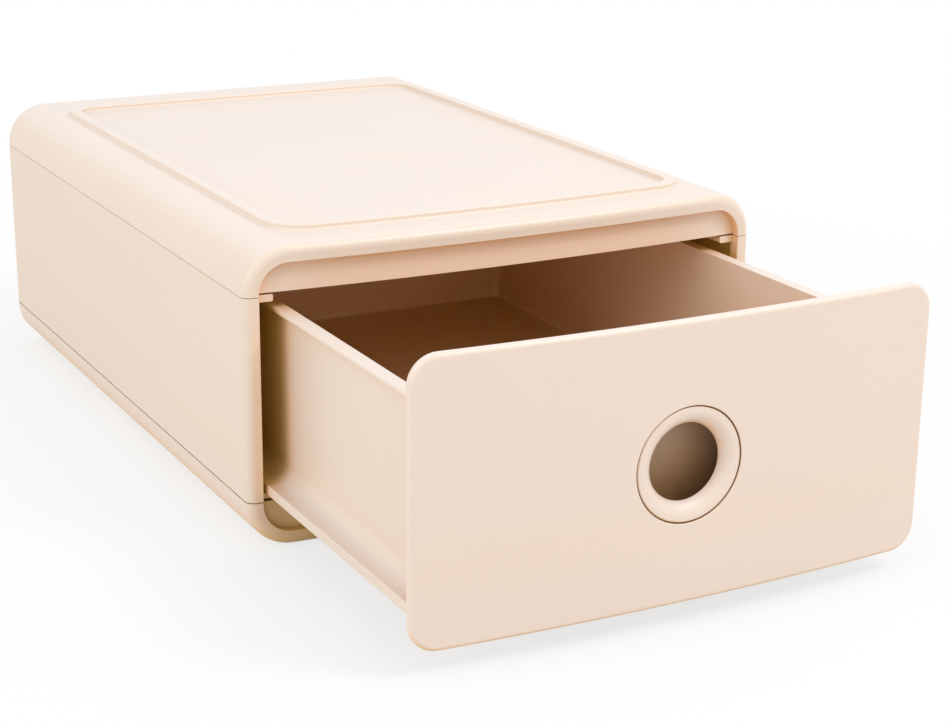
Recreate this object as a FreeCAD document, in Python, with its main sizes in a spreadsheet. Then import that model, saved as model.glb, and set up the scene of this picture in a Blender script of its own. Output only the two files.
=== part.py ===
import FreeCAD, Part
import math
import os
import Sketcher
from FreeCAD import Placement, Rotation, Vector

# Stackable drawer box: a moulded casing of two shells, two side panels and a
# back panel, with one drawer that is drawn half way out at rest.
# Millimetres, +Z up, front towards -Y. The origin is on the table, midway
# between the front of the open drawer and the back of the casing.

doc = FreeCAD.newDocument("StackableDrawerBox")
sheet = doc.addObject("Spreadsheet::Sheet", "Dimensions")

drivingSizes = [
    ("casingWidth", 260.0, "outside width of the casing"),
    ("casingDepth", 366.0, "from the middle of the bowed front to the back"),
    ("sideHeight", 93.5, "height between the two shells"),
    ("cornerRadius", 21.6, "long outer edges of the shells"),
    ("shellFlat", 0.4, "upright strip between that rounded edge and the seam"),
    ("bowRadius", 1460.0, "plan radius of the gently convex front"),
    ("skin", 2.5, "wall of the casing mouldings"),
    ("frontRounding", 4.5, "rounding around the front frame"),
    ("backRounding", 1.4, "rounding around the back"),
    ("lipTop", 8.0, "face width of the front frame at its top"),
    ("lipSide", 7.3, "face width of the front frame at its sides"),
    ("lipBase", 7.1, "face width of the front frame at its foot"),
    ("lipDepth", 4.4, "from the front face back to the valance"),
    ("lipRounding", 0.5, "inner edge of the front frame"),
    ("valanceThickness", 2.6, "wall that closes each shell at the front"),
    ("valanceHeadGap", 0.5, "edge of the upper valance above the seam"),
    ("valanceFootGap", 1.0, "edge of the lower valance below the seam"),
    ("seamGap", 0.3, "visible line between shells and panels"),
    ("fitGap", 0.3, "clearance between mating mouldings"),
    ("rimInsetSide", 23.2, "stacking rim from the side of the casing"),
    ("rimInsetFront", 20.0, "stacking rim from the front of the casing"),
    ("rimInsetBack", 30.0, "stacking rim from the back of the casing"),
    ("rimWidth", 6.2, "width of the stacking rim"),
    ("rimHeight", 2.7, "height of the stacking rim"),
    ("rimRadius", 19.0, "outer corners of the stacking rim"),
    ("rimRounding", 0.8, "rounding of the stacking rim"),
    ("rimFoot", 1.3, "sweep from the top of the casing up to the stacking rim"),
    ("recessDepth", 3.0, "hollow under the base for the rim below"),
    ("recessGap", 1.2, "play of the rim in that hollow"),
    ("footStand", 1.0, "base shell above the table"),
    ("footRadius", 8.0, "non-slip foot"),
    ("footInset", 3.0, "foot from the inside of the rim below"),
    ("footRounding", 0.5, "lower edge of the foot"),
    ("socketDepth", 0.8, "foot let into the base shell"),
    ("socketGap", 0.2, "play around the foot in its socket"),
    ("flangeReach", 15.0, "side panel flange from the outer face inwards"),
    ("flangeThickness", 3.2, "upper flange of the side panel"),
    ("railThickness", 2.4, "lower flange, on which the drawer runs"),
    ("flangeRounding", 0.9, "inner edge of the side panel flange"),
    ("tongueThickness", 2.0, "snap tongue"),
    ("tongueHeight", 6.6, "snap tongue beyond the seam"),
    ("tongueLength", 30.0, "snap tongue along the side"),
    ("guideHeight", 4.5, "rail that guides the runner sideways"),
    ("guideGap", 0.4, "play of the runner between those rails"),
    ("seamRounding", 0.4, "edge of the side panel along the seam"),
    ("nibReach", 1.1, "hook of the snap tongue"),
    ("nibHeight", 1.8, "height of that hook"),
    ("ledgeReach", 2.4, "ledge in the shell that holds the hook"),
    ("ledgeHeight", 2.0, "height of that ledge"),
    ("panelThickness", 3.4, "drawer front"),
    ("panelHeadGap", 0.4, "drawer front under the head of the front frame"),
    ("panelSideGap", 1.2, "drawer front from the sides of the front frame"),
    ("panelFootGap", 1.9, "drawer front above the foot of the front frame"),
    ("panelRounding", 2.0, "front edge of the drawer front"),
    ("panelBackRounding", 0.5, "back edge of the drawer front"),
    ("stopRibInset", 3.5, "stop ribs from the edge of the drawer front"),
    ("stopRibClear", 2.0, "stop ribs from the tray, above and below it"),
    ("pegRadius", 3.0, "pegs that hold the drawer front"),
    ("pegInset", 18.0, "pegs from the side of the tray"),
    ("pegRise", 12.0, "pegs above the floor and below the rim"),
    ("ribThickness", 1.8, "stiffening ribs"),
    ("drawerOpen", 142.0, "how far the drawer is out at rest"),
    ("runnerPlay", 1.9, "runner from the side of the front opening"),
    ("trayDrop", 7.2, "top of the tray below the upper seam"),
    ("trayWall", 2.5, "wall of the tray"),
    ("trayFloor", 2.4, "floor of the tray"),
    ("floorHeight", 9.4, "upper face of the floor above the runner"),
    ("trayCorner", 3.0, "upright inside corners of the tray"),
    ("floorFillet", 2.2, "sweep from the tray floor to its walls"),
    ("trayBackGap", 3.2, "tray from the inside of the back"),
    ("trayRimReach", 3.9, "turned-out rim beyond the wall"),
    ("trayRimThickness", 2.2, "turned-out rim"),
    ("trayRimRounding", 0.9, "rounding of that rim"),
    ("runnerReach", 10.8, "runner beyond the tray wall"),
    ("runnerThickness", 4.6, "runner"),
    ("runnerFillet", 8.0, "sweep between runner and tray wall"),
    ("runnerRounding", 0.6, "outer edge of the runner"),
    ("runGap", 0.3, "runner above the side panel flange"),
    ("lugInset", 69.2, "front of the stop lug from the back of the tray"),
    ("lugLength", 9.0, "stop lug"),
    ("lugWidth", 5.0, "stop lug"),
    ("lugCatch", 4.0, "stop lug above the upper seam"),
    ("ringRadius", 24.3, "outside of the finger ring"),
    ("ringGap", 0.6, "shadow line around the finger ring"),
    ("ringSink", 0.3, "ring behind the middle of the front"),
    ("ringDrop", 0.4, "middle of the ring below the middle of the drawer front"),
    ("ringEdge", 0.5, "flat edge of the finger ring"),
    ("ringSeat", 1.7, "flange of the finger ring"),
    ("ringHoleRounding", 0.3, "edge of the hole around the finger ring"),
    ("fingerRadius", 16.5, "finger hole"),
    ("bellRadius", 6.2, "curve of the bell around the finger hole"),
    ("throatDepth", 4.6, "depth of the bell at the finger hole"),
    ("throatLip", 1.0, "thickness of the bell's inner edge"),
    ("sleeveRadius", 22.2, "outside of the ring's sleeve"),
    ("sleeveWall", 1.8, "wall of the ring's sleeve"),
    ("sleeveGap", 0.2, "play around the sleeve"),
    ("beadReach", 0.8, "snap bead around the sleeve's end"),
    ("beadLength", 1.4, "length of that bead"),
    ("pocketHalf", 36.0, "finger pocket behind the ring, from its middle to its side"),
    ("pocketDepth", 19.5, "back of the finger pocket from the middle of the front"),
    ("pocketHead", 8.0, "top of the finger pocket below the top of the tray"),
    ("pocketCorner", 10.0, "corners of the finger pocket"),
    ("pocketRounding", 1.4, "outer edge of the finger pocket"),
    ("overrun", 10.0, "how far cuts run past the solid"),
]
for rowNumber, (alias, number, meaning) in enumerate(drivingSizes, 1):
    sheet.set("A%d" % rowNumber, meaning)
    sheet.set("B%d" % rowNumber, str(number))
    sheet.setAlias("B%d" % rowNumber, alias)
doc.recompute()

# Places along a side, as shares of its length or of half of it
tongueShares = (-0.3, 0.0, 0.3)
ledgeShare = 0.76
trayRibShares = (-0.7, -0.23, 0.23, 0.7)


class Size:
    """A length that knows its value and the sheet formula it comes from."""

    def __init__(self, number, text):
        self.number = float(number)
        self.text = text

    def __add__(self, other):
        return Size(self.number + other.number, "(%s + %s)" % (self.text, other.text))

    def __sub__(self, other):
        return Size(self.number - other.number, "(%s - %s)" % (self.text, other.text))

    def __mul__(self, factor):
        return Size(self.number * factor, "(%s * (%s))" % (self.text, factor))

    def __truediv__(self, divisor):
        return Size(self.number / divisor, "(%s / %s)" % (self.text, divisor))

    def __neg__(self):
        return Size(-self.number, "(0 - %s)" % self.text)


def leg(hypotenuse, side):
    """The other leg of a right triangle."""
    number = math.sqrt(hypotenuse.number ** 2 - side.number ** 2)
    text = "sqrt(%s ^ 2 - %s ^ 2)" % (hypotenuse.text, side.text)
    return Size(number, "(%s)" % text)


def fromSheet(alias):
    return Size(sheet.get(alias), "Dimensions.%s" % alias)


size = {alias: fromSheet(alias) for alias, number, meaning in drivingSizes}
zero = Size(0, "0")

# Heights
shellHeight = size["cornerRadius"] + size["shellFlat"]
shellBottom = size["footStand"]
lowSeam = shellBottom + shellHeight
highSeam = lowSeam + size["sideHeight"]
caseTop = highSeam + shellHeight

# Casing, from the middle outwards and from the front to the back
caseHalf = size["casingWidth"] / 2
caseInner = caseHalf - size["skin"]
openingHalf = caseHalf - size["lipSide"]
openingBottom = shellBottom + size["lipBase"]
openingTop = caseTop - size["lipTop"]
openingRadius = size["cornerRadius"] - size["lipTop"]
frontMiddle = -(size["casingDepth"] / 2)
caseBack = size["casingDepth"] / 2
backInner = caseBack - size["skin"]
bowCentre = frontMiddle + size["bowRadius"]
valanceFront = size["bowRadius"] - size["lipDepth"]
valanceBack = valanceFront - size["valanceThickness"]
lipBack = bowCentre - leg(valanceFront - size["valanceThickness"] / 2, openingHalf)

# Stacking rim
rimHalf = caseHalf - size["rimInsetSide"]
rimBack = caseBack - size["rimInsetBack"]
rimFrontRadius = size["bowRadius"] - size["rimInsetFront"]

# Drawer, in its shut place
panelBack = size["bowRadius"] - size["panelThickness"]
runnerBottom = lowSeam + size["seamGap"] + size["railThickness"] + size["runGap"]
runnerTop = runnerBottom + size["runnerThickness"]
trayTop = highSeam - size["trayDrop"]
floorTop = runnerBottom + size["floorHeight"]
floorBottom = floorTop - size["trayFloor"]
runnerHalf = openingHalf - size["runnerPlay"]
trayHalf = runnerHalf - size["runnerReach"]
trayInner = trayHalf - size["trayWall"]
trayBack = backInner - size["trayBackGap"]
panelHalf = openingHalf - size["panelSideGap"]
panelBottom = openingBottom + size["panelFootGap"]
panelTop = openingTop - size["panelHeadGap"]
panelRadius = openingRadius - size["panelSideGap"]
ringHeight = (panelBottom + panelTop) / 2 - size["ringDrop"]
ringHole = size["ringRadius"] + size["ringGap"]
ringSeatFace = frontMiddle + size["ringSink"] + size["ringSeat"]
sleeveHole = size["sleeveRadius"] + size["sleeveGap"]
pocketBack = frontMiddle + size["pocketDepth"]
pocketTop = trayTop - size["pocketHead"]

# The drawer stands half open at rest, and the origin is midway along both
casingShift = size["drawerOpen"] / 2
drawerShift = -casingShift

closeEnough = 1e-4


def newBody(label, shift):
    """A body under its own name, put in place along the drawer's travel."""
    body = doc.addObject("PartDesign::Body", "Body")
    body.Label = label
    body.Placement = Placement(Vector(0, shift.number, 0), Rotation())
    body.setExpression("Placement.Base.y", shift.text)
    return body


def startSketch(body, role, offset=None):
    """A sketch on one of the body's origin planes, moved along its normal."""
    sketch = body.newObject("Sketcher::SketchObject", "Sketch")
    for plane in body.Origin.OriginFeatures:
        if plane.Role == role:
            sketch.AttachmentSupport = [(plane, "")]
    sketch.MapMode = "FlatFace"
    if offset is not None:
        sketch.AttachmentOffset = Placement(Vector(0, 0, offset.number), Rotation())
        sketch.setExpression("AttachmentOffset.Base.z", offset.text)
    return sketch


def frontSketch(body, y):
    """Sketch across the box at depth y; its normal points to the front."""
    return startSketch(body, "XZ_Plane", -y)


def planSketch(body, z):
    return startSketch(body, "XY_Plane", z)


def bind(sketch, constraint, length):
    index = sketch.addConstraint(constraint)
    name = "size%d" % index
    sketch.renameConstraint(index, name)
    sketch.setExpression("Constraints.%s" % name, length.text)


def placeAcross(sketch, element, point, x):
    bind(sketch, Sketcher.Constraint("DistanceX", -1, 1, element, point, x.number), x)


def placeUp(sketch, element, point, y):
    bind(sketch, Sketcher.Constraint("DistanceY", -1, 1, element, point, y.number), y)


def setRadius(sketch, element, radius):
    bind(sketch, Sketcher.Constraint("Radius", element, radius.number), radius)


def addArc(sketch, x, y, radius, start, end):
    circle = Part.Circle(Vector(x, y, 0), Vector(0, 0, 1), radius)
    return sketch.addGeometry(Part.ArcOfCircle(circle, start, end), False)


def addLine(sketch, start, end):
    return sketch.addGeometry(Part.LineSegment(Vector(*start, 0), Vector(*end, 0)), False)


def drawOutline(sketch, corners):
    """A closed outline of level and upright sides.

    Each corner is (x, y, radius), with radius None where it is sharp.
    """
    count = len(corners)
    spots = [(x.number, y.number) for x, y, radius in corners]
    rounds = [radius.number if radius else 0.0 for x, y, radius in corners]
    heading = []
    for index in range(count):
        x0, y0 = spots[index]
        x1, y1 = spots[(index + 1) % count]
        reach = math.hypot(x1 - x0, y1 - y0)
        heading.append(((x1 - x0) / reach, (y1 - y0) / reach))
    lines = []
    for index in range(count):
        after = (index + 1) % count
        dx, dy = heading[index]
        start = (spots[index][0] + dx * rounds[index], spots[index][1] + dy * rounds[index])
        end = (spots[after][0] - dx * rounds[after], spots[after][1] - dy * rounds[after])
        line = addLine(sketch, start, end)
        lines.append(line)
        if abs(dx) > abs(dy):
            sketch.addConstraint(Sketcher.Constraint("Horizontal", line))
            placeUp(sketch, line, 1, corners[index][1])
        else:
            sketch.addConstraint(Sketcher.Constraint("Vertical", line))
            placeAcross(sketch, line, 1, corners[index][0])
    for index in range(count):
        before = lines[index - 1]
        line = lines[index]
        radius = corners[index][2]
        if radius is None:
            sketch.addConstraint(Sketcher.Constraint("Coincident", before, 2, line, 1))
            continue
        inX, inY = heading[index - 1]
        outX, outY = heading[index]
        middleX = spots[index][0] + (outX - inX) * radius.number
        middleY = spots[index][1] + (outY - inY) * radius.number
        turnsLeft = inX * outY - inY * outX > 0
        first = math.atan2(-outY, -outX)
        last = math.atan2(inY, inX)
        if turnsLeft:
            arc = addArc(sketch, middleX, middleY, radius.number, first, last)
            sketch.addConstraint(Sketcher.Constraint("Tangent", before, 2, arc, 1))
            sketch.addConstraint(Sketcher.Constraint("Tangent", arc, 2, line, 1))
        else:
            arc = addArc(sketch, middleX, middleY, radius.number, last, first)
            sketch.addConstraint(Sketcher.Constraint("Tangent", before, 2, arc, 2))
            sketch.addConstraint(Sketcher.Constraint("Tangent", arc, 1, line, 1))
        setRadius(sketch, arc, radius)


def drawBox(sketch, left, right, bottom, top, lowRadius=None, highRadius=None):
    """An upright rectangle whose lower and upper corners may be rounded."""
    drawOutline(sketch, [
        (left, bottom, lowRadius),
        (right, bottom, lowRadius),
        (right, top, highRadius),
        (left, top, highRadius),
    ])


def drawArch(sketch, ends, outside, inside):
    """A wide arch whose legs end at one height.

    The outside and the inside are (half width, face, corner radius).
    """
    outerHalf, outerFace, outerRadius = outside
    innerHalf, innerFace, innerRadius = inside
    drawOutline(sketch, [
        (-outerHalf, ends, None),
        (-innerHalf, ends, None),
        (-innerHalf, innerFace, innerRadius),
        (innerHalf, innerFace, innerRadius),
        (innerHalf, ends, None),
        (outerHalf, ends, None),
        (outerHalf, outerFace, outerRadius),
        (-outerHalf, outerFace, outerRadius),
    ])


def drawCircle(sketch, x, y, radius):
    circle = Part.Circle(Vector(x.number, y.number, 0), Vector(0, 0, 1), radius.number)
    element = sketch.addGeometry(circle, False)
    placeAcross(sketch, element, 3, x)
    placeUp(sketch, element, 3, y)
    setRadius(sketch, element, radius)


def addBowArc(sketch, radius, x):
    """An arc of the front's bow in plan, from -x to x, around the bow's centre."""
    spread = math.asin(x.number / radius.number)
    down = 1.5 * math.pi
    arc = addArc(sketch, 0, bowCentre.number, radius.number, down - spread, down + spread)
    sketch.addConstraint(Sketcher.Constraint("PointOnObject", arc, 3, -2))
    placeUp(sketch, arc, 3, bowCentre)
    setRadius(sketch, arc, radius)
    return arc


def bowAt(radius, x):
    """Plan depth of the bow of a given radius at a distance from the middle."""
    return bowCentre - leg(radius, x)


def drawBowCut(sketch, radius, far, wide):
    """The region between the bow and a level line at depth far."""
    arc = addBowArc(sketch, radius, wide)
    near = bowAt(radius, wide).number
    right = addLine(sketch, (wide.number, near), (wide.number, far.number))
    level = addLine(sketch, (wide.number, far.number), (-wide.number, far.number))
    left = addLine(sketch, (-wide.number, far.number), (-wide.number, near))
    chain = [arc, right, level, left]
    for index in range(4):
        after = chain[(index + 1) % 4]
        sketch.addConstraint(Sketcher.Constraint("Coincident", chain[index], 2, after, 1))
    sketch.addConstraint(Sketcher.Constraint("Vertical", right))
    sketch.addConstraint(Sketcher.Constraint("Vertical", left))
    sketch.addConstraint(Sketcher.Constraint("Horizontal", level))
    placeAcross(sketch, right, 1, wide)
    placeAcross(sketch, left, 1, -wide)
    placeUp(sketch, level, 1, far)


def drawBowedPlan(sketch, half, frontRadius, back, frontRounding, backRounding):
    """A plan outline with a bowed front, straight sides and rounded corners."""
    cornerX = half - frontRounding
    cornerY = bowCentre - leg(frontRadius - frontRounding, cornerX)
    spread = math.asin(cornerX.number / (frontRadius.number - frontRounding.number))
    down = 1.5 * math.pi
    x = half.number
    y = cornerY.number
    backX = half.number - backRounding.number
    backY = back.number - backRounding.number
    chain = [
        addArc(sketch, 0, bowCentre.number, frontRadius.number, down - spread, down + spread),
        addArc(sketch, cornerX.number, y, frontRounding.number, spread - math.pi / 2, 0),
        addLine(sketch, (x, y), (x, backY)),
        addArc(sketch, backX, backY, backRounding.number, 0, math.pi / 2),
        addLine(sketch, (backX, back.number), (-backX, back.number)),
        addArc(sketch, -backX, backY, backRounding.number, math.pi / 2, math.pi),
        addLine(sketch, (-x, backY), (-x, y)),
        addArc(sketch, -cornerX.number, y, frontRounding.number, math.pi, down - spread),
    ]
    for index in range(8):
        after = chain[(index + 1) % 8]
        sketch.addConstraint(Sketcher.Constraint("Tangent", chain[index], 2, after, 1))
    sketch.addConstraint(Sketcher.Constraint("PointOnObject", chain[0], 3, -2))
    placeUp(sketch, chain[0], 3, bowCentre)
    setRadius(sketch, chain[0], frontRadius)
    sketch.addConstraint(Sketcher.Constraint("Vertical", chain[2]))
    sketch.addConstraint(Sketcher.Constraint("Horizontal", chain[4]))
    sketch.addConstraint(Sketcher.Constraint("Vertical", chain[6]))
    placeAcross(sketch, chain[2], 1, half)
    placeUp(sketch, chain[4], 1, back)
    placeAcross(sketch, chain[6], 1, -half)
    setRadius(sketch, chain[1], frontRounding)
    setRadius(sketch, chain[3], backRounding)
    setRadius(sketch, chain[5], backRounding)
    setRadius(sketch, chain[7], frontRounding)


def bodyVolume(body):
    return 0.0 if body.Shape.isNull() else body.Shape.Volume


def extrude(body, kind, sketch, length, backwards=False, bothWays=False):
    """Pads or pockets a sketch and makes sure that the volume changed."""
    doc.recompute()
    before = bodyVolume(body)
    feature = body.newObject("PartDesign::" + kind, kind)
    feature.Profile = sketch
    if length is None:
        feature.Type = "ThroughAll"
    else:
        feature.Length = length.number
        feature.setExpression("Length", length.text)
    if bothWays:
        feature.SideType = "Symmetric"
    feature.Reversed = backwards
    doc.recompute()
    change = bodyVolume(body) - before
    grows = kind == "Pad"
    if grows != (change > 0) or abs(change) < closeEnough:
        raise RuntimeError("%s: %s changed the volume by %g" % (body.Label, feature.Name, change))
    return feature


def pad(body, sketch, length, backwards=False, bothWays=False):
    return extrude(body, "Pad", sketch, length, backwards, bothWays)


def pocket(body, sketch, length, backwards=False, bothWays=False):
    return extrude(body, "Pocket", sketch, length, backwards, bothWays)


def fillet(body, radius, wanted):
    """Rounds the edges of the body for which wanted is true."""
    doc.recompute()
    base = body.Tip
    names = []
    for number, edge in enumerate(base.Shape.Edges, 1):
        if wanted(edge):
            names.append("Edge%d" % number)
    if not names:
        raise RuntimeError("%s: no edge to round" % body.Label)
    feature = body.newObject("PartDesign::Fillet", "Fillet")
    feature.Base = (base, names)
    feature.Radius = radius.number
    feature.setExpression("Radius", radius.text)
    doc.recompute()
    return feature


def span(edge):
    """Corners of an edge, for telling edges apart by where they lie."""
    return [vertex.Point for vertex in edge.Vertexes]


def allAt(edge, axis, place):
    return all(abs(point[axis] - place.number) < closeEnough for point in span(edge))


def onBow(edge, radius):
    """True where both ends of the edge lie on the bow of a given radius."""
    for point in span(edge):
        reach = math.hypot(point.x, point.y - bowCentre.number)
        if abs(reach - radius.number) > closeEnough:
            return False
    return True


def alongSeam(edge, seam):
    """True for an outer edge along a seam: on the side, or round the front corner."""
    for point in span(edge):
        onSide = abs(abs(point.x) - caseHalf.number) < closeEnough
        reach = math.hypot(point.x, point.y - bowCentre.number)
        onFront = abs(reach - size["bowRadius"].number) < closeEnough
        if not onSide and not onFront:
            return False
    return allAt(edge, 2, seam)


def cutFrontBow(body, z, radius):
    """Gives a moulding the convex front of a given bow radius."""
    sketch = planSketch(body, z)
    drawBowCut(sketch, radius, frontMiddle - size["overrun"], caseHalf + size["overrun"])
    pocket(body, sketch, None, bothWays=True)


def buildShell(label, up):
    """The top shell (up = 1) or the base shell (up = -1), mirror images in form."""
    body = newBody(label, casingShift)
    outer = caseTop if up > 0 else shellBottom
    seam = highSeam if up > 0 else lowSeam
    skinFace = outer - size["skin"] * up
    lipFace = openingTop if up > 0 else openingBottom
    outside = (caseHalf, outer, size["cornerRadius"])

    def inOpening(edge):
        for point in span(edge):
            if abs(point.x) > openingHalf.number + closeEnough:
                return False
            if (point.z - lipFace.number) * up > closeEnough:
                return False
        return True

    def aroundFront(edge):
        return onBow(edge, size["bowRadius"]) and not inOpening(edge) and not allAt(edge, 2, seam)

    def aroundOpening(edge):
        return onBow(edge, size["bowRadius"]) and inOpening(edge)

    valanceEdge = seam + size["valanceHeadGap"] if up > 0 else seam - size["valanceFootGap"]
    valanceHalf = caseHalf - size["skin"] / 2
    valanceEnd = bowAt(valanceBack, valanceHalf) + size["valanceThickness"]
    valance = frontSketch(body, frontMiddle)
    drawOutline(valance, [
        (-valanceHalf, valanceEdge, None),
        (valanceHalf, valanceEdge, None),
        (valanceHalf, outer - (size["skin"] / 2) * up, size["cornerRadius"] - size["skin"] / 2),
        (-valanceHalf, outer - (size["skin"] / 2) * up, size["cornerRadius"] - size["skin"] / 2),
    ])
    pad(body, valance, valanceEnd - frontMiddle, backwards=True)
    cutFrontBow(body, seam, valanceFront)
    behind = planSketch(body, seam)
    drawBowCut(behind, valanceBack, valanceEnd + size["overrun"], caseHalf + size["overrun"])
    pocket(body, behind, None, bothWays=True)

    frame = frontSketch(body, frontMiddle)
    drawArch(frame, seam, outside, (openingHalf, lipFace, openingRadius))
    pad(body, frame, lipBack - frontMiddle, backwards=True)
    walls = frontSketch(body, lipBack)
    drawArch(walls, seam, outside, (caseInner, skinFace, size["cornerRadius"] - size["skin"]))
    pad(body, walls, backInner - lipBack, backwards=True)
    back = frontSketch(body, backInner)
    drawOutline(back, [
        (-caseHalf, seam, None),
        (caseHalf, seam, None),
        (caseHalf, outer, size["cornerRadius"]),
        (-caseHalf, outer, size["cornerRadius"]),
    ])
    pad(body, back, size["skin"], backwards=True)
    cutFrontBow(body, seam, size["bowRadius"])
    fillet(body, size["frontRounding"], aroundFront)
    fillet(body, size["backRounding"],
           lambda edge: allAt(edge, 1, caseBack) and not allAt(edge, 2, seam))
    fillet(body, size["lipRounding"], aroundOpening)

    for side in (-1, 1):
        ledge = frontSketch(body, zero)
        near = (caseInner - size["ledgeReach"]) * side
        far = (caseHalf - size["skin"] / 2) * side
        low = seam + size["nibHeight"] * up
        drawBox(ledge, near, far, low, low + size["ledgeHeight"] * up)
        pad(body, ledge, size["casingDepth"] * ledgeShare, bothWays=True)
    return body


def addStackingRim(body):
    """The raised rim on top, which the hollow of the next box takes in."""
    rim = planSketch(body, caseTop)
    outerRadius = size["rimRadius"]
    innerRadius = outerRadius - size["rimWidth"]
    drawBowedPlan(rim, rimHalf, rimFrontRadius, rimBack, outerRadius, outerRadius)
    drawBowedPlan(rim, rimHalf - size["rimWidth"], rimFrontRadius - size["rimWidth"],
                  rimBack - size["rimWidth"], innerRadius, innerRadius)
    pad(body, rim, size["rimHeight"])
    fillet(body, size["rimRounding"], lambda edge: allAt(edge, 2, caseTop + size["rimHeight"]))

    def aroundFoot(edge):
        for point in span(edge):
            if abs(point.x) > rimHalf.number + closeEnough:
                return False
            if point.y < frontMiddle.number + size["rimInsetFront"].number - closeEnough:
                return False
            if point.y > rimBack.number + closeEnough:
                return False
        return allAt(edge, 2, caseTop)

    fillet(body, size["rimFoot"], aroundFoot)


def footPlaces():
    """Middles of the four feet, inside the rim of a box below."""
    inset = size["rimWidth"] + size["footInset"] + size["footRadius"]
    x = rimHalf - inset
    back = rimBack - inset
    front = bowAt(rimFrontRadius, x) + inset
    return [
        ("foot_pad_front_left", -x, front),
        ("foot_pad_front_right", x, front),
        ("foot_pad_back_left", -x, back),
        ("foot_pad_back_right", x, back),
    ]


def addStackingHollow(body):
    """The hollow under the base, the raised floor over it and the foot sockets."""
    gap = size["recessGap"]
    skin = size["skin"]
    floor = planSketch(body, shellBottom + skin / 2)
    outline = size["rimRadius"] + gap + skin
    drawBowedPlan(floor, rimHalf + gap + skin, rimFrontRadius + gap + skin,
                  rimBack + gap + skin, outline, outline)
    pad(body, floor, size["recessDepth"] + skin / 2)
    hollow = planSketch(body, shellBottom + size["recessDepth"])
    outline = size["rimRadius"] + gap
    drawBowedPlan(hollow, rimHalf + gap, rimFrontRadius + gap, rimBack + gap, outline, outline)
    pocket(body, hollow, size["recessDepth"] + size["overrun"])
    sockets = planSketch(body, socketTop)
    for label, x, y in footPlaces():
        drawCircle(sockets, x, y, size["footRadius"] + size["socketGap"])
    pocket(body, sockets, size["socketDepth"] + size["overrun"])


def buildFootPad(label, x, y):
    """A non-slip foot, seated in its socket under the base shell."""
    body = newBody(label, casingShift)
    disc = planSketch(body, zero)
    drawCircle(disc, x, y, size["footRadius"])
    pad(body, disc, socketTop)
    fillet(body, size["footRounding"], lambda edge: allAt(edge, 2, zero))
    return body


def buildSidePanel(label, side):
    """A side panel: a wall with a flange at its top and foot, which keep the
    drawer level, a guide rail, a front post and snap tongues into both shells."""
    body = newBody(label, casingShift)
    low = lowSeam + size["seamGap"]
    high = highSeam - size["seamGap"]
    lowFlange = low + size["railThickness"]
    highFlange = high - size["flangeThickness"]
    outer = caseHalf * side
    inner = caseInner * side
    reach = (caseHalf - size["flangeReach"]) * side
    post = openingHalf * side
    guide = (runnerHalf + size["guideGap"]) * side
    edgeRadius = size["flangeRounding"]

    wall = frontSketch(body, zero)
    drawOutline(wall, [
        (outer, low, None),
        (outer, high, None),
        (reach, high, edgeRadius),
        (reach, highFlange, edgeRadius),
        (inner, highFlange, None),
        (inner, lowFlange + size["guideHeight"], None),
        (guide, lowFlange + size["guideHeight"], edgeRadius),
        (guide, lowFlange, None),
        (reach, lowFlange, edgeRadius),
        (reach, low, edgeRadius),
    ])
    pad(body, wall, size["casingDepth"], bothWays=True)

    frontPost = frontSketch(body, frontMiddle)
    drawBox(frontPost, post, outer - (size["skin"] / 2) * side, low, high)
    pad(body, frontPost, lipBack - frontMiddle, backwards=True)
    cutFrontBow(body, low, size["bowRadius"])
    fillet(body, size["frontRounding"],
           lambda edge: allAt(edge, 0, outer) and onBow(edge, size["bowRadius"]))
    fillet(body, size["backRounding"],
           lambda edge: allAt(edge, 0, outer) and allAt(edge, 1, caseBack))

    opening = planSketch(body, low)
    drawBowCut(opening, valanceFront, frontMiddle - size["overrun"], openingHalf)
    pocket(body, opening, None, bothWays=True)
    fillet(body, size["lipRounding"],
           lambda edge: allAt(edge, 0, post) and onBow(edge, size["bowRadius"]))

    backRoom = frontSketch(body, backInner - size["fitGap"])
    drawBox(backRoom, zero, inner, low - size["overrun"], high + size["overrun"])
    pocket(body, backRoom, size["skin"] + size["fitGap"] + size["overrun"])

    fillet(body, size["seamRounding"],
           lambda edge: alongSeam(edge, low) or alongSeam(edge, high))

    hookFace = caseInner - size["ledgeReach"] - size["fitGap"]
    rootFace = (hookFace - size["tongueThickness"]) * side
    nibFace = (hookFace + size["nibReach"]) * side
    for up, seam, root in ((1, highSeam, high), (-1, lowSeam, low)):
        foot = root - (size["railThickness"] / 2) * up
        nib = seam + (size["nibHeight"] + size["ledgeHeight"] + size["socketGap"]) * up
        tip = nib + size["nibHeight"] * up
        for share in tongueShares:
            first = size["casingDepth"] * share - size["tongueLength"] / 2
            tongue = frontSketch(body, first)
            drawOutline(tongue, [
                (rootFace, foot, None),
                (hookFace * side, foot, None),
                (hookFace * side, nib, None),
                (nibFace, nib, None),
                (nibFace, tip, None),
                (rootFace, tip, None),
            ])
            pad(body, tongue, size["tongueLength"], backwards=True)
    return body


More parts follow.
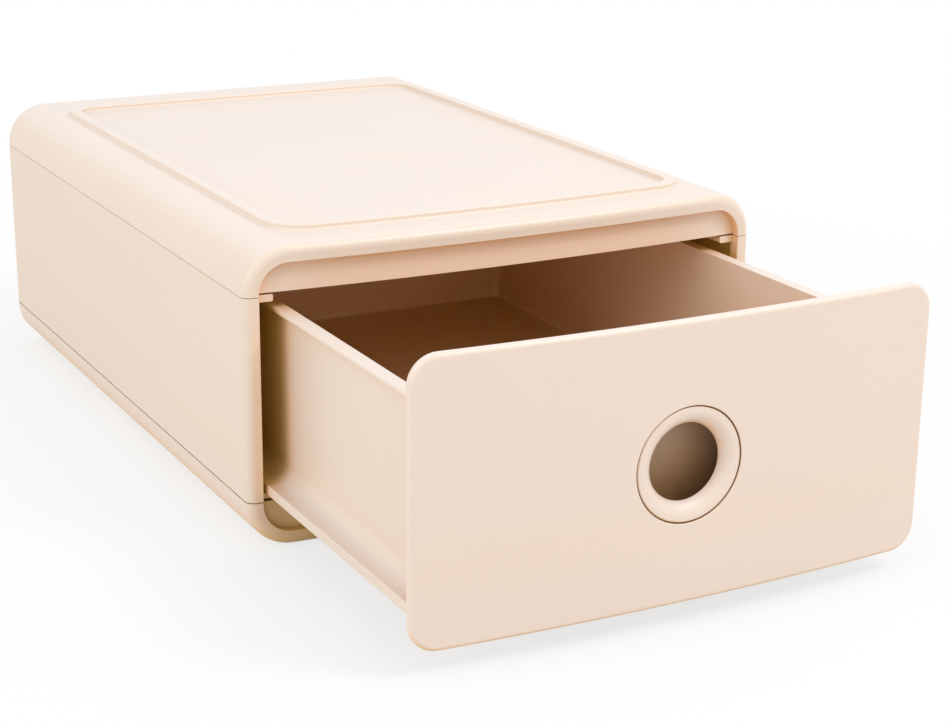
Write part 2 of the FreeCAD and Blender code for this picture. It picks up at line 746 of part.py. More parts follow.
def buildBackPanel():
    """The back panel, with a tongue behind the skirt of each shell."""
    body = newBody("back_panel", casingShift)
    low = lowSeam + size["seamGap"]
    high = highSeam - size["seamGap"]
    plateHalf = caseInner - size["fitGap"]
    plate = frontSketch(body, backInner)
    drawBox(plate, -plateHalf, plateHalf, low, high)
    pad(body, plate, size["skin"], backwards=True)
    tongueHalf = caseHalf - size["cornerRadius"]
    tongueFace = backInner - size["fitGap"] - size["tongueThickness"]
    for up, edge in ((1, high), (-1, low)):
        root = edge - size["tongueHeight"] * up
        tip = edge + size["tongueHeight"] * up
        tongue = frontSketch(body, tongueFace)
        drawBox(tongue, -tongueHalf, tongueHalf, root, tip)
        pad(body, tongue, size["tongueThickness"], backwards=True)
        bridge = frontSketch(body, tongueFace)
        drawBox(bridge, -tongueHalf, tongueHalf, root, edge)
        pad(body, bridge, size["tongueThickness"] + size["fitGap"] + size["skin"] / 2,
            backwards=True)
    return body


def pegPlaces():
    x = trayHalf - size["pegInset"]
    low = floorTop + size["pegRise"]
    high = trayTop - size["trayRimThickness"] - size["pegRise"]
    return [(-x, low), (x, low), (-x, high), (x, high)]


def buildTray():
    """The tray: a deep box with a turned-out rim, swept runners, stop lugs and a
    finger pocket in its front wall."""
    body = newBody("drawer_tray", drawerShift)
    corner = size["trayCorner"]
    wall = size["trayWall"]
    rimReach = trayHalf + size["trayRimReach"]
    underRim = trayTop - size["trayRimThickness"]
    runnerEdge = size["runnerRounding"]
    rimEdge = size["trayRimRounding"]
    sweep = size["runnerFillet"]

    block = frontSketch(body, trayBack)
    drawOutline(block, [
        (-runnerHalf, runnerBottom, runnerEdge),
        (runnerHalf, runnerBottom, runnerEdge),
        (runnerHalf, runnerTop, runnerEdge),
        (trayHalf, runnerTop, sweep),
        (trayHalf, underRim, None),
        (rimReach, underRim, rimEdge),
        (rimReach, trayTop, rimEdge),
        (-rimReach, trayTop, rimEdge),
        (-rimReach, underRim, rimEdge),
        (-trayHalf, underRim, None),
        (-trayHalf, runnerTop, sweep),
        (-runnerHalf, runnerTop, runnerEdge),
    ])
    pad(body, block, trayBack - frontMiddle)
    cutFrontBow(body, runnerBottom, panelBack)

    inside = planSketch(body, floorTop)
    drawBowedPlan(inside, trayInner, panelBack - wall, trayBack - wall, corner, corner)
    pocket(body, inside, trayTop - floorTop + size["overrun"], backwards=True)
    fillet(body, size["floorFillet"], lambda edge: allAt(edge, 2, floorTop))

    half = size["pocketHalf"]
    pocketCorner = size["pocketCorner"]
    housing = frontSketch(body, frontMiddle + size["panelThickness"] + wall / 2)
    drawBox(housing, -(half + wall), half + wall, floorTop - size["trayFloor"] / 2,
            pocketTop + wall, None, pocketCorner + wall)
    pad(body, housing, pocketBack - frontMiddle - size["panelThickness"] + wall / 2,
        backwards=True)

    def behindHousing(edge):
        return allAt(edge, 1, pocketBack + wall) and not allAt(edge, 2, floorTop)

    fillet(body, size["pocketRounding"], behindHousing)
    cavity = frontSketch(body, pocketBack)
    drawBox(cavity, -half, half, floorTop, pocketTop, pocketCorner, pocketCorner)
    pocket(body, cavity, size["pocketDepth"] + size["overrun"], backwards=True)

    under = planSketch(body, floorBottom)
    drawBowedPlan(under, trayInner, panelBack - wall, trayBack - wall, corner, corner)
    pocket(body, under, floorBottom - runnerBottom + size["overrun"])

    ribFoot = runnerBottom + size["fitGap"]
    ribs = planSketch(body, ribFoot)
    half = size["ribThickness"] / 2
    ribEnd = trayInner + wall / 2
    for share in trayRibShares:
        middle = (frontMiddle + trayBack) / 2 + (trayBack - frontMiddle) * (share / 2)
        drawBox(ribs, -ribEnd, ribEnd, middle - half, middle + half)
    pad(body, ribs, floorBottom + size["trayFloor"] / 2 - ribFoot)

    lugFoot = trayTop - size["trayRimThickness"] / 2
    lugStart = trayBack - size["lugInset"]
    lugs = planSketch(body, lugFoot)
    for side in (-1, 1):
        drawBox(lugs, trayInner * side, (trayInner + size["lugWidth"]) * side,
                lugStart, lugStart + size["lugLength"])
    pad(body, lugs, highSeam + size["lugCatch"] - lugFoot)

    holes = frontSketch(body, frontMiddle)
    for x, z in pegPlaces():
        drawCircle(holes, x, z, size["pegRadius"] + size["sleeveGap"])
    pocket(body, holes, size["panelThickness"] + wall + size["overrun"])
    return body


def buildDrawerFront():
    """The drawer front: a bowed plate on four pegs, with ribs behind its head and
    foot that stop against the casing when the drawer is pushed in."""
    body = newBody("drawer_front_panel", drawerShift)
    start = frontMiddle - size["overrun"]
    behind = bowAt(valanceFront, panelHalf) + size["overrun"]
    beyond = behind + size["overrun"]
    wide = caseHalf + size["overrun"]

    plate = frontSketch(body, start)
    drawBox(plate, -panelHalf, panelHalf, panelBottom, panelTop, panelRadius, panelRadius)
    pad(body, plate, behind - start, backwards=True)
    plateBack = planSketch(body, panelBottom)
    drawBowCut(plateBack, panelBack, beyond, wide)
    pocket(body, plateBack, None, bothWays=True)
    fillet(body, size["panelBackRounding"], lambda edge: onBow(edge, panelBack))

    inset = size["stopRibInset"]
    rib = size["ribThickness"]
    ribHalf = panelHalf - inset
    ribRadius = panelRadius - inset
    within = frontMiddle + size["panelThickness"] / 2
    for up, face, ends in ((1, panelTop, trayTop + size["stopRibClear"]),
                           (-1, panelBottom, runnerBottom - size["stopRibClear"])):
        ribFace = face - inset * up
        ribs = frontSketch(body, within)
        drawArch(ribs, ends, (ribHalf, ribFace, ribRadius),
                 (ribHalf - rib, ribFace - rib * up, ribRadius - rib))
        pad(body, ribs, behind - within, backwards=True)
    ribBack = planSketch(body, panelBottom)
    drawBowCut(ribBack, valanceFront + size["fitGap"], beyond, wide)
    pocket(body, ribBack, None, bothWays=True)
    frontCut = planSketch(body, panelBottom)
    drawBowCut(frontCut, size["bowRadius"], start - size["overrun"], wide)
    pocket(body, frontCut, None, bothWays=True)
    fillet(body, size["panelRounding"], lambda edge: onBow(edge, size["bowRadius"]))

    seat = frontSketch(body, ringSeatFace)
    drawCircle(seat, zero, ringHeight, ringHole)
    pocket(body, seat, ringSeatFace - start, backwards=True)

    def aroundHole(edge):
        for point in span(edge):
            if math.hypot(point.x, point.z - ringHeight.number) > ringHole.number + closeEnough:
                return False
        return onBow(edge, size["bowRadius"])

    fillet(body, size["ringHoleRounding"], aroundHole)
    sleeve = frontSketch(body, frontMiddle)
    drawCircle(sleeve, zero, ringHeight, sleeveHole)
    pocket(body, sleeve, size["panelThickness"] + size["overrun"])

    pegStart = bowAt(panelBack, trayHalf - size["pegInset"]) - size["panelThickness"] / 2
    pegs = frontSketch(body, pegStart)
    for x, z in pegPlaces():
        drawCircle(pegs, x, z, size["pegRadius"])
    pad(body, pegs, size["panelThickness"] / 2 + size["trayWall"] + size["fitGap"],
        backwards=True)
    return body


def buildFingerRing():
    """The finger ring: a bell that narrows to the finger hole, on a sleeve that
    snaps into the drawer front."""
    body = newBody("finger_ring", drawerShift)
    front = frontMiddle + size["ringSink"]
    throat = front + size["throatDepth"]
    lipEnd = throat + size["throatLip"]
    sleeveEnd = lipEnd + size["throatLip"]
    beadStart = frontMiddle + size["panelThickness"] + size["fitGap"]
    beadEnd = beadStart + size["beadLength"]
    landStart = size["fingerRadius"] + leg(size["bellRadius"], size["bellRadius"] - size["throatDepth"])
    inside = size["sleeveRadius"] - size["sleeveWall"]

    profile = startSketch(body, "YZ_Plane")
    spots = [
        (throat, size["fingerRadius"]),
        (lipEnd, size["fingerRadius"] + size["throatLip"]),
        (lipEnd, inside),
        (sleeveEnd, inside),
        (sleeveEnd, size["sleeveRadius"]),
        (beadEnd, size["sleeveRadius"]),
        (beadStart, size["sleeveRadius"] + size["beadReach"]),
        (beadStart, size["sleeveRadius"]),
        (ringSeatFace, size["sleeveRadius"]),
        (ringSeatFace, size["ringRadius"]),
        (front + size["ringEdge"], size["ringRadius"]),
        (front, size["ringRadius"] - size["ringEdge"]),
        (front, landStart),
    ]
    lines = []
    for (y0, r0), (y1, r1) in zip(spots[:-1], spots[1:]):
        lines.append(addLine(profile, (y0.number, (ringHeight + r0).number),
                             (y1.number, (ringHeight + r1).number)))
    centre = front + size["bellRadius"]
    first = math.pi
    last = math.pi + math.acos((size["bellRadius"].number - size["throatDepth"].number)
                               / size["bellRadius"].number)
    bell = addArc(profile, centre.number, (ringHeight + landStart).number,
                  size["bellRadius"].number, first, last)
    for before, after in zip(lines[:-1], lines[1:]):
        profile.addConstraint(Sketcher.Constraint("Coincident", before, 2, after, 1))
    profile.addConstraint(Sketcher.Constraint("Coincident", lines[-1], 2, bell, 1))
    profile.addConstraint(Sketcher.Constraint("Coincident", bell, 2, lines[0], 1))
    setRadius(profile, bell, size["bellRadius"])
    for line, (y, r) in zip(lines, spots):
        placeAcross(profile, line, 1, y)
        placeUp(profile, line, 1, ringHeight + r)
    placeAcross(profile, lines[-1], 2, front)
    placeUp(profile, lines[-1], 2, ringHeight + landStart)
    axis = addLine(profile, (front.number, ringHeight.number),
                   (sleeveEnd.number, ringHeight.number))
    profile.setConstruction(axis, True)
    placeAcross(profile, axis, 1, front)
    placeUp(profile, axis, 1, ringHeight)
    placeAcross(profile, axis, 2, sleeveEnd)
    profile.addConstraint(Sketcher.Constraint("Horizontal", axis))
    doc.recompute()
    turned = body.newObject("PartDesign::Revolution", "Revolution")
    turned.Profile = profile
    turned.ReferenceAxis = (profile, ["Axis0"])
    turned.Angle = 360
    doc.recompute()
    if bodyVolume(body) < closeEnough:
        raise RuntimeError("%s: the profile was not turned" % body.Label)
    return body


socketTop = shellBottom + size["recessDepth"] + size["socketDepth"]

topShell = buildShell("top_shell", 1)
addStackingRim(topShell)
baseShell = buildShell("base_shell", -1)
addStackingHollow(baseShell)
bodies = [
    topShell,
    baseShell,
    buildSidePanel("left_side_panel", -1),
    buildSidePanel("right_side_panel", 1),
    buildBackPanel(),
    buildTray(),
    buildDrawerFront(),
    buildFingerRing(),
]
for label, x, y in footPlaces():
    bodies.append(buildFootPad(label, x, y))

doc.recompute()
for item in doc.Objects:
    if "Invalid" in item.State or "Error" in item.State:
        raise RuntimeError("%s is not sound: %s" % (item.Name, item.State))
    if item.TypeId == "Sketcher::SketchObject" and not item.FullyConstrained:
        raise RuntimeError("%s is not fully constrained" % item.Name)

os.makedirs("parts", exist_ok=True)
for body in bodies:
    shape = body.Shape
    if shape.isNull() or not shape.isValid() or len(shape.Solids) != 1:
        raise RuntimeError("%s is not one sound solid" % body.Label)
    shape.exportStep("parts/%s.step" % body.Label)
    print("%s: %.1f cm3" % (body.Label, shape.Volume / 1000))
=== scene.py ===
import math

import bpy
from mathutils import Euler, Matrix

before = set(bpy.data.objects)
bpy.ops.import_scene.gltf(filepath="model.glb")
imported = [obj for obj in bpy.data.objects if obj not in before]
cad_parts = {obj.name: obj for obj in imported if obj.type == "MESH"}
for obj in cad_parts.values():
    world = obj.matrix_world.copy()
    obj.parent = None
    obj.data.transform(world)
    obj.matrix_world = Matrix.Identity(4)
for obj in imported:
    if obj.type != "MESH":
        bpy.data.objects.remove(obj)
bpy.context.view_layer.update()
print("stage: frame loaded with", len(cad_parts), "pieces")

# Where the photograph was taken from. Lengths are in metres, but the lens and
# the sensor in millimetres. Angles are in degrees.
cameraLook = {
    "place": (-0.43171, -0.88257, 0.35264),
    "pitch": 72.3646,
    "roll": -0.5362,
    "heading": -27.8476,
    "lens": 77.118,
    "sensor": 36.0,
    "nearest": 0.01,
    "farthest": 100.0,
}

# Soft studio light around the box. A lamp's power is in watts.
lightLook = {
    "domeColour": (1.0, 1.0, 1.0),
    "domeStrength": 0.94,
    "backdropColour": (1.0, 1.0, 1.0),
    "backdropStrength": 1.0,
    "lamps": [
        {
            "name": "keyBox",
            "place": (0.77, -1.0, 1.48),
            "aim": (0.0, -0.12, 0.08),
            "size": 0.6,
            "power": 12.5,
        },
        {
            "name": "leftBox",
            "place": (-1.78, -0.35, 0.55),
            "aim": (0.0, -0.05, 0.07),
            "size": 1.2,
            "power": 9.0,
        },
    ],
}

# Pale paper mixed with plain white. The white's share is whiteNear up to
# shadowNear from the middle, where the box's shadow falls, and whiteFar from
# shadowFar on. The bounce colour is what the floor throws back on the box.
floorLook = {
    "halfSize": 12.0,
    "colour": (0.80, 0.795, 0.79),
    "bounceColour": (0.67, 0.66, 0.65),
    "roughness": 0.85,
    "fibreScale": 700.0,
    "fibreHeight": 0.00002,
    "whiteColour": (1.0, 1.0, 1.0),
    "whiteStrength": 1.0,
    "whiteNear": 0.75,
    "whiteFar": 1.0,
    "shadowNear": 0.35,
    "shadowFar": 0.60,
}

# The looks of the pieces. Colours are linear. Lengths are in metres.
ivory = (0.76, 0.635, 0.525)
ivoryFront = (0.785, 0.65, 0.55)

shellLook = {
    "colour": ivory,
    # Painted shade where less of the sky is seen within the reach, first warmer, then
    # deeper
    "halfShadeColour": (0.92, 0.58, 0.36),
    "deepShadeColour": (0.70, 0.465, 0.108),
    "shadeReach": 0.15,
    # Dirt and painted shade in the narrow gaps between pieces
    "gapColour": (0.30, 0.185, 0.10),
    # Dust with painted sheen on what looks up
    "dustSheenColour": (0.77, 0.70, 0.675),
    "dustSheen": 0.55,
    "toneSpread": 0.025,
    "roughness": 0.35,
    "roughnessSpread": 0.05,
    "grainScale": 2600.0,
    "grainHeight": 0.000012,
    "edgeWear": 0.35,
    "edgeRadius": 0.0012,
    "refraction": 1.5,
}
sideLook = {**shellLook, "roughness": 0.43, "grainHeight": 0.000014}
backLook = {**shellLook, "roughness": 0.48, "grainHeight": 0.000018}
frontLook = {
    **shellLook,
    "colour": ivoryFront,
    "roughness": 0.38,
    "grainHeight": 0.000010,
}
ringLook = {
    **shellLook,
    "colour": ivoryFront,
    "roughness": 0.43,
    "grainHeight": 0.000006,
    "edgeRadius": 0.0006,
}

# The hollow behind the finger ring, a box from low to high, painted with shade.
# Its colour goes from pale to dark downwards, from one reach above the middle
# height to one below it.
pocketLook = {
    "low": (-0.0362, -0.2535, 0.030),
    "high": (0.0362, -0.2342, 0.106),
    "pale": (0.57, 0.37, 0.24),
    "dark": (0.44, 0.255, 0.12),
    "middle": 0.0697,
    "reach": 0.015,
}
trayLook = {
    **shellLook,
    "toneSpread": 0.03,
    "roughness": 0.36,
    "grainHeight": 0.000008,
    "pocket": pocketLook,
}

footLook = {
    "colour": (0.52, 0.47, 0.42),
    # Painted shade where less of the sky is seen within the reach, first warmer, then
    # deeper
    "halfShadeColour": (0.46, 0.40, 0.35),
    "deepShadeColour": (0.36, 0.31, 0.27),
    "shadeReach": 0.02,
    # Dirt and painted shade in the narrow gaps between pieces
    "gapColour": (0.2, 0.17, 0.14),
    # Dust with painted sheen on what looks up
    "dustSheenColour": (0.6, 0.57, 0.53),
    "dustSheen": 0.1,
    "toneSpread": 0.06,
    "roughness": 0.78,
    "roughnessSpread": 0.08,
    "grainScale": 1500.0,
    "grainHeight": 0.00004,
    "edgeWear": 0.2,
    "edgeRadius": 0.0005,
    "refraction": 1.5,
}

looks = {
    "top_shell": ("topShellPlastic", shellLook),
    "base_shell": ("baseShellPlastic", shellLook),
    "left_side_panel": ("leftSidePlastic", sideLook),
    "right_side_panel": ("rightSidePlastic", sideLook),
    "back_panel": ("backPanelPlastic", backLook),
    "drawer_tray": ("trayPlastic", trayLook),
    "drawer_front_panel": ("drawerFrontPlastic", frontLook),
    "finger_ring": ("fingerRingPlastic", ringLook),
    "foot_pad_front_left": ("footRubber", footLook),
    "foot_pad_front_right": ("footRubber", footLook),
    "foot_pad_back_left": ("footRubber", footLook),
    "foot_pad_back_right": ("footRubber", footLook),
}

# What all the pieces share. Noise settings go by the names of the noise node's
# inputs. Other pairs are the two ends of a gradient. A sky value is the share
# of the sky that a spot sees, and a height is the spot's own, in metres.
finishLook = {
    "driftNoise": {"Scale": 9.0, "Detail": 3.0, "Roughness": 0.55},
    "rubNoise": {"Scale": 55.0, "Detail": 4.0},
    "dustNoise": {"Scale": 14.0, "Detail": 4.0},
    "roughNoise": {"Scale": 38.0, "Detail": 5.0},
    "grainNoise": {"Detail": 2.0},
    "noiseMiddle": 0.5,
    "edgeSamples": 4,
    "edgeFacing": (1.0, 0.86),
    "rubSpan": (0.35, 0.65),
    "rubShare": (0.35, 1.0),
    "edgeTone": 1.05,
    "edgePolish": 0.12,
    "dustSheenSlope": (0.55, 1.0),
    "dustSpan": (0.3, 0.7),
    "dustShare": (0.8, 1.0),
    "skySamples": 8,
    "lowHeight": (0.0, 0.12),
    "lowSky": (0.40, 0.84),
    "topHeight": (0.1295, 0.132),
    "topSky": (0.84, 0.5),
    "halfShadeSky": 0.28,
    "deepShadeSky": (0.32, 0.10),
    "gapSamples": 6,
    "gapReach": 0.0025,
    "gapSky": (0.42, 0.10),
    "bumpStrength": 1.0,
}

# The finish group's inputs, each with its key in a look
finishInputs = {
    "Colour": "colour",
    "Deep Shade Colour": "deepShadeColour",
    "Roughness": "roughness",
    "Roughness Spread": "roughnessSpread",
    "Tone Spread": "toneSpread",
    "Grain Scale": "grainScale",
    "Grain Height": "grainHeight",
    "Edge Wear": "edgeWear",
    "Edge Radius": "edgeRadius",
    "Dust Sheen Colour": "dustSheenColour",
    "Dust Sheen": "dustSheen",
    "Shade Reach": "shadeReach",
    "Half Shade Colour": "halfShadeColour",
    "Gap Colour": "gapColour",
}
finishOutputs = {
    "Colour": "NodeSocketColor",
    "Roughness": "NodeSocketFloat",
    "Normal": "NodeSocketVector",
}

opaque = 1.0
columnWidth = 220
rowHeight = 280


# A socket is linked, a colour or a number is set on the input
def fillInput(tree, target, value):
    if isinstance(value, bpy.types.NodeSocket):
        tree.links.new(value, target)
    elif isinstance(value, tuple):
        target.default_value = (*value, opaque)
    else:
        target.default_value = value


# The inputs go by name or number. The settings come first, because they
# decide which inputs a node has.
def node(tree, kind, inputs, **settings):
    made = tree.nodes.new(kind)
    for key, value in settings.items():
        setattr(made, key, value)
    for key, value in inputs.items():
        fillInput(tree, made.inputs[key], value)
    return made


def maths(tree, operation, first, second=0.0, clamp=False):
    inputs = {0: first, 1: second}
    made = node(tree, "ShaderNodeMath", inputs, operation=operation, use_clamp=clamp)
    return made.outputs[0]


def noise(tree, inputs):
    made = node(tree, "ShaderNodeTexNoise", inputs, noise_dimensions="3D")
    return made.outputs["Fac"]


# Goes from the first end to the second as the value crosses the span
def gradient(tree, value, span, ends=(0.0, 1.0)):
    made = node(tree, "ShaderNodeMapRange", {
        "Value": value,
        "From Min": span[0],
        "From Max": span[1],
        "To Min": ends[0],
        "To Max": ends[1],
    })
    return made.outputs["Result"]


def scaledColour(tree, colour, factor):
    inputs = {0: colour, "Scale": factor}
    made = node(tree, "ShaderNodeVectorMath", inputs, operation="SCALE")
    return made.outputs["Vector"]


def mixColours(tree, factor, first, second):
    inputs = {"Factor": factor, "A": first, "B": second}
    return node(tree, "ShaderNodeMix", inputs, data_type="RGBA").outputs["Result"]


def mixShaders(tree, factor, first, second):
    inputs = {0: factor, 1: first, 2: second}
    return node(tree, "ShaderNodeMixShader", inputs).outputs["Shader"]


def bumpNormal(tree, height, distance):
    made = node(tree, "ShaderNodeBump", {
        "Strength": finishLook["bumpStrength"],
        "Distance": distance,
        "Height": height,
    })
    return made.outputs["Normal"]


def openSky(tree, reach, samples):
    inputs = {"Distance": reach}
    made = node(tree, "ShaderNodeAmbientOcclusion", inputs, samples=samples)
    return made.outputs["AO"]


def objectPlace(tree):
    return node(tree, "ShaderNodeTexCoord", {}).outputs["Object"]


def axesOf(tree, vector):
    return node(tree, "ShaderNodeSeparateXYZ", {0: vector}).outputs


# Turns the nodes on and takes away those that come with them
def emptyTree(owner):
    owner.use_nodes = True
    owner.node_tree.nodes.clear()
    return owner.node_tree


# Sets the nodes out in columns, each one left of all that it feeds
def arrange(tree):
    columns = {made.name: 0 for made in tree.nodes}
    for _ in tree.nodes:
        for link in tree.links:
            column = columns[link.to_node.name] + 1
            columns[link.from_node.name] = max(columns[link.from_node.name], column)
    filled = {}
    for name, column in columns.items():
        row = filled.get(column, 0)
        filled[column] = row + 1
        tree.nodes[name].location = (-columnWidth * column, -rowHeight * row)


# Moulded plastic: slow changes of tone, fine grain, worn edges, dust with painted
# sheen on what looks up, and painted shade in a warmer, deeper tone where light has to
# bounce in
def makeFinishGroup():
    tree = bpy.data.node_groups.new("mouldedFinish", "ShaderNodeTree")
    for name, key in finishInputs.items():
        isColour = isinstance(shellLook[key], tuple)
        kind = "NodeSocketColor" if isColour else "NodeSocketFloat"
        tree.interface.new_socket(name, in_out="INPUT", socket_type=kind)
    for name, kind in finishOutputs.items():
        tree.interface.new_socket(name, in_out="OUTPUT", socket_type=kind)
    given = node(tree, "NodeGroupInput", {}).outputs
    place = objectPlace(tree)
    geometry = node(tree, "ShaderNodeNewGeometry", {}).outputs

    # Slow drift of tone, as pigment and flow leave it in a large moulding
    drift = noise(tree, {"Vector": place, **finishLook["driftNoise"]})
    centred = maths(tree, "SUBTRACT", drift, finishLook["noiseMiddle"])
    shift = maths(tree, "MULTIPLY", centred, given["Tone Spread"])
    toned = scaledColour(tree, given["Colour"], maths(tree, "ADD", shift, 1.0))

    # Edges, where handling polishes the grain away
    rounded = node(tree, "ShaderNodeBevel", {"Radius": given["Edge Radius"]},
                   samples=finishLook["edgeSamples"]).outputs["Normal"]
    facing = node(tree, "ShaderNodeVectorMath", {0: rounded, 1: geometry["Normal"]},
                  operation="DOT_PRODUCT").outputs["Value"]
    edge = gradient(tree, facing, finishLook["edgeFacing"])
    rubbed = noise(tree, {"Vector": place, **finishLook["rubNoise"]})
    patchy = gradient(tree, rubbed, finishLook["rubSpan"], finishLook["rubShare"])
    worn = maths(tree, "MULTIPLY", edge, patchy)
    worn = maths(tree, "MULTIPLY", worn, given["Edge Wear"], clamp=True)
    pale = scaledColour(tree, toned, finishLook["edgeTone"])
    edged = mixColours(tree, worn, toned, pale)

    # Dust with painted sheen: paler on what looks up, thinner where hands have wiped
    # it
    upward = axesOf(tree, geometry["Normal"])["Z"]
    level = gradient(tree, upward, finishLook["dustSheenSlope"])
    wiped = noise(tree, {"Vector": place, **finishLook["dustNoise"]})
    cover = gradient(tree, wiped, finishLook["dustSpan"], finishLook["dustShare"])
    dustAndSheen = maths(tree, "MULTIPLY", level, cover)
    dustAndSheen = maths(tree, "MULTIPLY", dustAndSheen, given["Dust Sheen"], clamp=True)
    sheenDusted = mixColours(tree, dustAndSheen, edged, given["Dust Sheen Colour"])

    # Painted shade: warmer, then deeper, where less of the sky is seen. How much
    # counts as open grows with the height, and drops again on the top.
    sky = openSky(tree, given["Shade Reach"], finishLook["skySamples"])
    height = axesOf(tree, geometry["Position"])["Z"]
    rising = gradient(tree, height, finishLook["lowHeight"], finishLook["lowSky"])
    falling = gradient(tree, height, finishLook["topHeight"], finishLook["topSky"])
    limit = maths(tree, "MINIMUM", rising, falling)
    shaded = gradient(tree, sky, (limit, finishLook["halfShadeSky"]))
    halfShaded = mixColours(tree, shaded, sheenDusted, given["Half Shade Colour"])
    deepShade = gradient(tree, sky, finishLook["deepShadeSky"])
    deepShaded = mixColours(tree, deepShade, halfShaded, given["Deep Shade Colour"])

    # Dirt and painted shade in the narrow gaps between pieces
    gapSky = openSky(tree, finishLook["gapReach"], finishLook["gapSamples"])
    grimeAndShade = gradient(tree, gapSky, finishLook["gapSky"])
    colour = mixColours(tree, grimeAndShade, deepShaded, given["Gap Colour"])

    # Roughness wanders over patches a few centimetres wide and drops on the edges
    patches = noise(tree, {"Vector": place, **finishLook["roughNoise"]})
    swing = maths(tree, "SUBTRACT", patches, finishLook["noiseMiddle"])
    swing = maths(tree, "MULTIPLY", swing, given["Roughness Spread"])
    rough = maths(tree, "ADD", swing, given["Roughness"])
    polish = maths(tree, "MULTIPLY", worn, finishLook["edgePolish"])
    roughness = maths(tree, "SUBTRACT", rough, polish)

    # The fine grain of the mould
    grain = noise(tree, {
        "Vector": place,
        "Scale": given["Grain Scale"],
        **finishLook["grainNoise"],
    })
    normal = bumpNormal(tree, grain, given["Grain Height"])
    node(tree, "NodeGroupOutput", {
        "Colour": colour,
        "Roughness": roughness,
        "Normal": normal,
    })
    arrange(tree)
    return tree


# Paints shade into the pocket's box, darker downwards, and leaves the colour as it is
# outside it
def shadePocket(tree, colour, pocket):
    axes = axesOf(tree, objectPlace(tree))
    inside = 1.0
    for axis, low, high in zip("XYZ", pocket["low"], pocket["high"]):
        offset = maths(tree, "SUBTRACT", axes[axis], (low + high) / 2)
        distance = maths(tree, "ABSOLUTE", offset)
        within = maths(tree, "LESS_THAN", distance, (high - low) / 2)
        inside = maths(tree, "MULTIPLY", inside, within)
    span = (pocket["middle"] + pocket["reach"], pocket["middle"] - pocket["reach"])
    slope = gradient(tree, axes["Z"], span)
    shade = mixColours(tree, slope, pocket["pale"], pocket["dark"])
    return mixColours(tree, inside, colour, shade)


def makeMaterial(name, look):
    made = bpy.data.materials.get(name)
    if made:
        return made
    made = bpy.data.materials.new(name)
    tree = emptyTree(made)
    values = {socket: look[key] for socket, key in finishInputs.items()}
    finish = node(tree, "ShaderNodeGroup", values, node_tree=finishGroup).outputs
    colour = finish["Colour"]
    # Painted shade inside the pocket behind the finger ring
    if "pocket" in look:
        colour = shadePocket(tree, colour, look["pocket"])
    shader = node(tree, "ShaderNodeBsdfPrincipled", {
        "Base Color": colour,
        "Roughness": finish["Roughness"],
        "Normal": finish["Normal"],
        "IOR": look["refraction"],
    })
    node(tree, "ShaderNodeOutputMaterial", {"Surface": shader.outputs["BSDF"]})
    arrange(tree)
    return made


# 1 for what the camera sees, straight or in a glossy or clear surface
def seenDirectly(tree):
    path = node(tree, "ShaderNodeLightPath", {}).outputs
    seen = maths(tree, "MAXIMUM", path["Is Camera Ray"], path["Is Glossy Ray"])
    return maths(tree, "MAXIMUM", seen, path["Is Transmission Ray"])


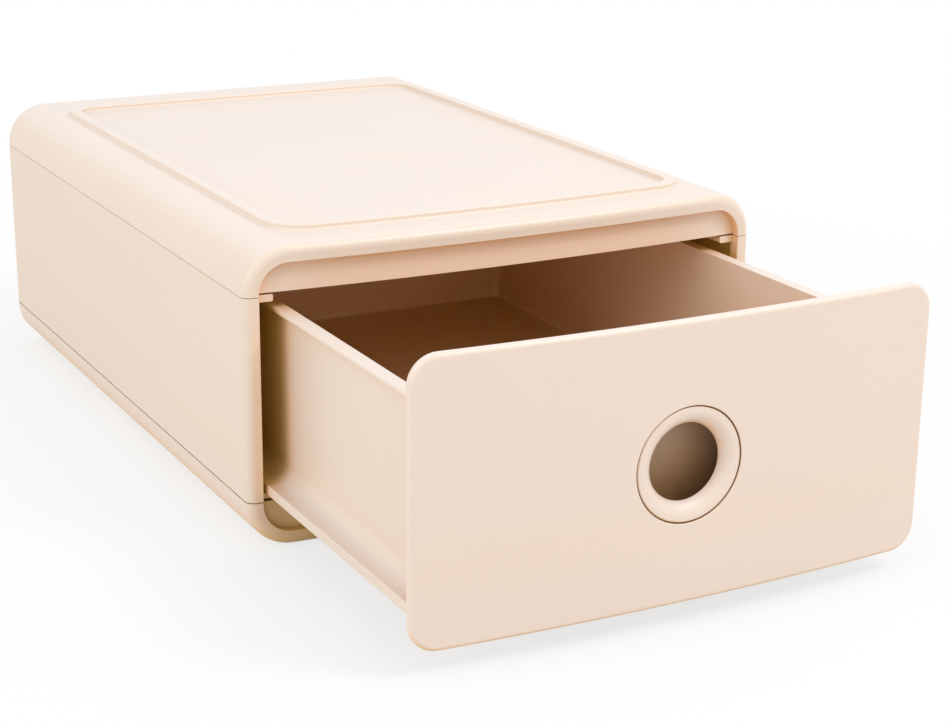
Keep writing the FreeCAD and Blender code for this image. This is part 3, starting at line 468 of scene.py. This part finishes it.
def makeFloor():
    half = floorLook["halfSize"]
    mesh = bpy.data.meshes.new("studioFloor")
    corners = [(-half, -half, 0), (half, -half, 0), (half, half, 0), (-half, half, 0)]
    mesh.from_pydata(corners, [], [(0, 1, 2, 3)])
    floor = bpy.data.objects.new("studioFloor", mesh)
    bpy.context.scene.collection.objects.link(floor)
    material = bpy.data.materials.new("floorPaper")
    tree = emptyTree(material)
    fibre = noise(tree, {"Scale": floorLook["fibreScale"]})
    paper = node(tree, "ShaderNodeBsdfPrincipled", {
        "Base Color": floorLook["colour"],
        "Roughness": floorLook["roughness"],
        "Normal": bumpNormal(tree, fibre, floorLook["fibreHeight"]),
    }).outputs["BSDF"]
    white = node(tree, "ShaderNodeEmission", {
        "Color": floorLook["whiteColour"],
        "Strength": floorLook["whiteStrength"],
    }).outputs["Emission"]
    bounce = node(tree, "ShaderNodeBsdfDiffuse", {
        "Color": floorLook["bounceColour"],
    }).outputs["BSDF"]
    away = node(tree, "ShaderNodeVectorMath", {0: objectPlace(tree)},
                operation="LENGTH").outputs["Value"]
    span = (floorLook["shadowNear"], floorLook["shadowFar"])
    share = gradient(tree, away, span, (floorLook["whiteNear"], floorLook["whiteFar"]))
    lit = mixShaders(tree, share, paper, white)
    shown = mixShaders(tree, seenDirectly(tree), bounce, lit)
    node(tree, "ShaderNodeOutputMaterial", {"Surface": shown})
    arrange(tree)
    mesh.materials.append(material)


def makeWorld():
    world = bpy.data.worlds.new("studioDome")
    bpy.context.scene.world = world
    tree = emptyTree(world)
    dome = node(tree, "ShaderNodeBackground", {
        "Color": lightLook["domeColour"],
        "Strength": lightLook["domeStrength"],
    }).outputs["Background"]
    backdrop = node(tree, "ShaderNodeBackground", {
        "Color": lightLook["backdropColour"],
        "Strength": lightLook["backdropStrength"],
    }).outputs["Background"]
    shown = mixShaders(tree, seenDirectly(tree), dome, backdrop)
    node(tree, "ShaderNodeOutputWorld", {"Surface": shown})
    arrange(tree)


# A lamp shines down until it is turned, so level is a quarter turn up
def makeLamps():
    for lamp in lightLook["lamps"]:
        data = bpy.data.lights.new(lamp["name"], "AREA")
        data.shape = "SQUARE"
        data.size = lamp["size"]
        data.energy = lamp["power"]
        made = bpy.data.objects.new(lamp["name"], data)
        bpy.context.scene.collection.objects.link(made)
        made.location = lamp["place"]
        east, north, up = [to - at for to, at in zip(lamp["aim"], lamp["place"])]
        pitch = math.pi / 2 + math.atan2(up, math.hypot(east, north))
        made.rotation_euler = (pitch, 0.0, math.atan2(-east, north))


def makeCamera():
    data = bpy.data.cameras.new("photoCamera")
    data.sensor_width = cameraLook["sensor"]
    data.lens = cameraLook["lens"]
    data.clip_start = cameraLook["nearest"]
    data.clip_end = cameraLook["farthest"]
    made = bpy.data.objects.new("photoCamera", data)
    bpy.context.scene.collection.objects.link(made)
    made.location = cameraLook["place"]
    angles = [math.radians(cameraLook[key]) for key in ("pitch", "roll", "heading")]
    made.rotation_euler = Euler(angles, "XYZ")
    bpy.context.scene.camera = made


finishGroup = makeFinishGroup()
for nodeName, (materialName, look) in looks.items():
    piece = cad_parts[nodeName]
    material = makeMaterial(materialName, look)
    piece.data.materials.clear()
    piece.data.materials.append(material)
print("stage: materials made")

makeFloor()
makeWorld()
makeLamps()
makeCamera()
bpy.context.scene.view_settings.view_transform = "Standard"
print("stage: floor, light and camera placed")
